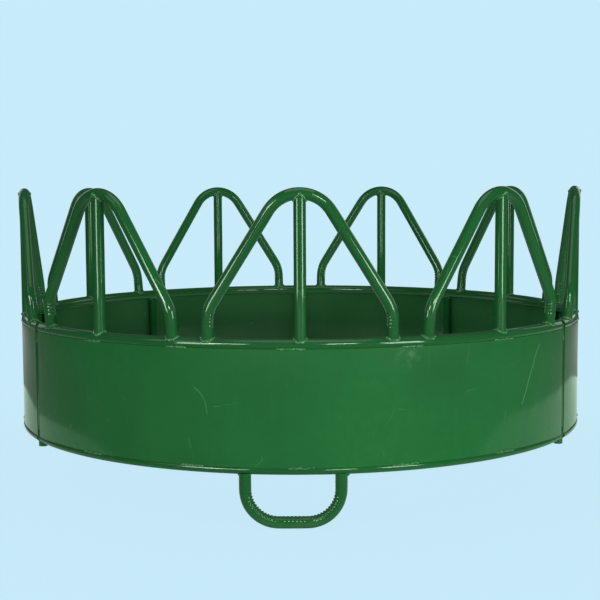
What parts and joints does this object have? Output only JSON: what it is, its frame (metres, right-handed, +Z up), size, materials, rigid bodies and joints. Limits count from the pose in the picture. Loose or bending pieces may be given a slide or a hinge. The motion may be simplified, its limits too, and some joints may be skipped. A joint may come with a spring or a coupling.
{
  "type": "round bale feeder",
  "caption": "Ring feeder for round hay bales: hinged sections with a deep sheet skirt, rolled tube rails, slanted tube loops with centre bars, drop pins and hoop feet.",
  "frame": {"origin": "on the ground at the ring's axis, which is the centre of the bounding box's underside", "axes": "+Z up along the ring axis; the front section faces -Y; +X to the right seen from the front"},
  "size_m": [2.3316, 2.3324, 1.1592],
  "materials": {
    "green_sheet": "glossy enamel on rolled steel sheet",
    "green_tube": "glossy enamel on bent steel tube",
    "green_fitting": "glossy enamel on welded fittings"
  },
  "bodies": {
    "front_section": {"front_bar_centre": "green_tube", "front_bar_left": "green_tube", "front_bar_right": "green_tube", "front_bottom_rail": "green_tube", "front_end_bar": "green_fitting", "front_foot": "green_tube", "front_loop_centre": "green_tube", "front_loop_left": "green_tube", "front_loop_right": "green_tube", "front_lower_sleeve": "green_fitting", "front_middle_sleeve": "green_fitting", "front_rail_caps": "green_fitting", "front_skirt": "green_sheet", "front_start_bar": "green_fitting", "front_top_rail": "green_tube", "front_upper_sleeve": "green_fitting", "front_upright_left": "green_tube", "front_upright_right": "green_tube"},
    "right_section": {"right_bar_centre": "green_tube", "right_bar_left": "green_tube", "right_bar_right": "green_tube", "right_bottom_rail": "green_tube", "right_end_bar": "green_fitting", "right_foot": "green_tube", "right_loop_centre": "green_tube", "right_loop_left": "green_tube", "right_loop_right": "green_tube", "right_lower_sleeve": "green_fitting", "right_middle_sleeve": "green_fitting", "right_rail_caps": "green_fitting", "right_skirt": "green_sheet", "right_start_bar": "green_fitting", "right_top_rail": "green_tube", "right_upper_sleeve": "green_fitting", "right_upright_left": "green_tube", "right_upright_right": "green_tube"},
    "left_section": {"left_bar_centre": "green_tube", "left_bar_left": "green_tube", "left_bar_right": "green_tube", "left_bottom_rail": "green_tube", "left_end_bar": "green_fitting", "left_foot": "green_tube", "left_loop_centre": "green_tube", "left_loop_left": "green_tube", "left_loop_right": "green_tube", "left_lower_sleeve": "green_fitting", "left_rail_caps": "green_fitting", "left_rear_saddle": "green_fitting", "left_skirt": "green_sheet", "left_start_bar": "green_fitting", "left_top_rail": "green_tube", "left_upper_sleeve": "green_fitting", "left_upright_left": "green_tube", "left_upright_right": "green_tube"},
    "right_pin": {"right_pin": "green_fitting", "right_pin_eye": "green_fitting"},
    "left_pin": {"left_pin": "green_fitting", "left_pin_eye": "green_fitting"},
    "rear_pin": {"rear_pin": "green_fitting", "rear_pin_eye": "green_fitting"}
  },
  "joints": [
    {"name": "right_section_swing", "type": "hinge", "parent": "front_section", "child": "right_section", "pos_m": [0.99247, -0.573, 0], "axis": [0, 0, -1], "range_deg": [0, 70]},
    {"name": "left_section_swing", "type": "hinge", "parent": "front_section", "child": "left_section", "pos_m": [-0.99247, -0.573, 0], "axis": [0, 0, 1], "range_deg": [0, 70]},
    {"name": "right_pin_lift", "type": "slide", "parent": "front_section", "child": "right_pin", "axis": [0, 0, 1], "range_m": [0, 0.5]},
    {"name": "left_pin_lift", "type": "slide", "parent": "front_section", "child": "left_pin", "axis": [0, 0, 1], "range_m": [0, 0.5]},
    {"name": "rear_pin_lift", "type": "slide", "parent": "right_section", "child": "rear_pin", "axis": [0, 0, 1], "range_m": [0, 0.5]}
  ]
}
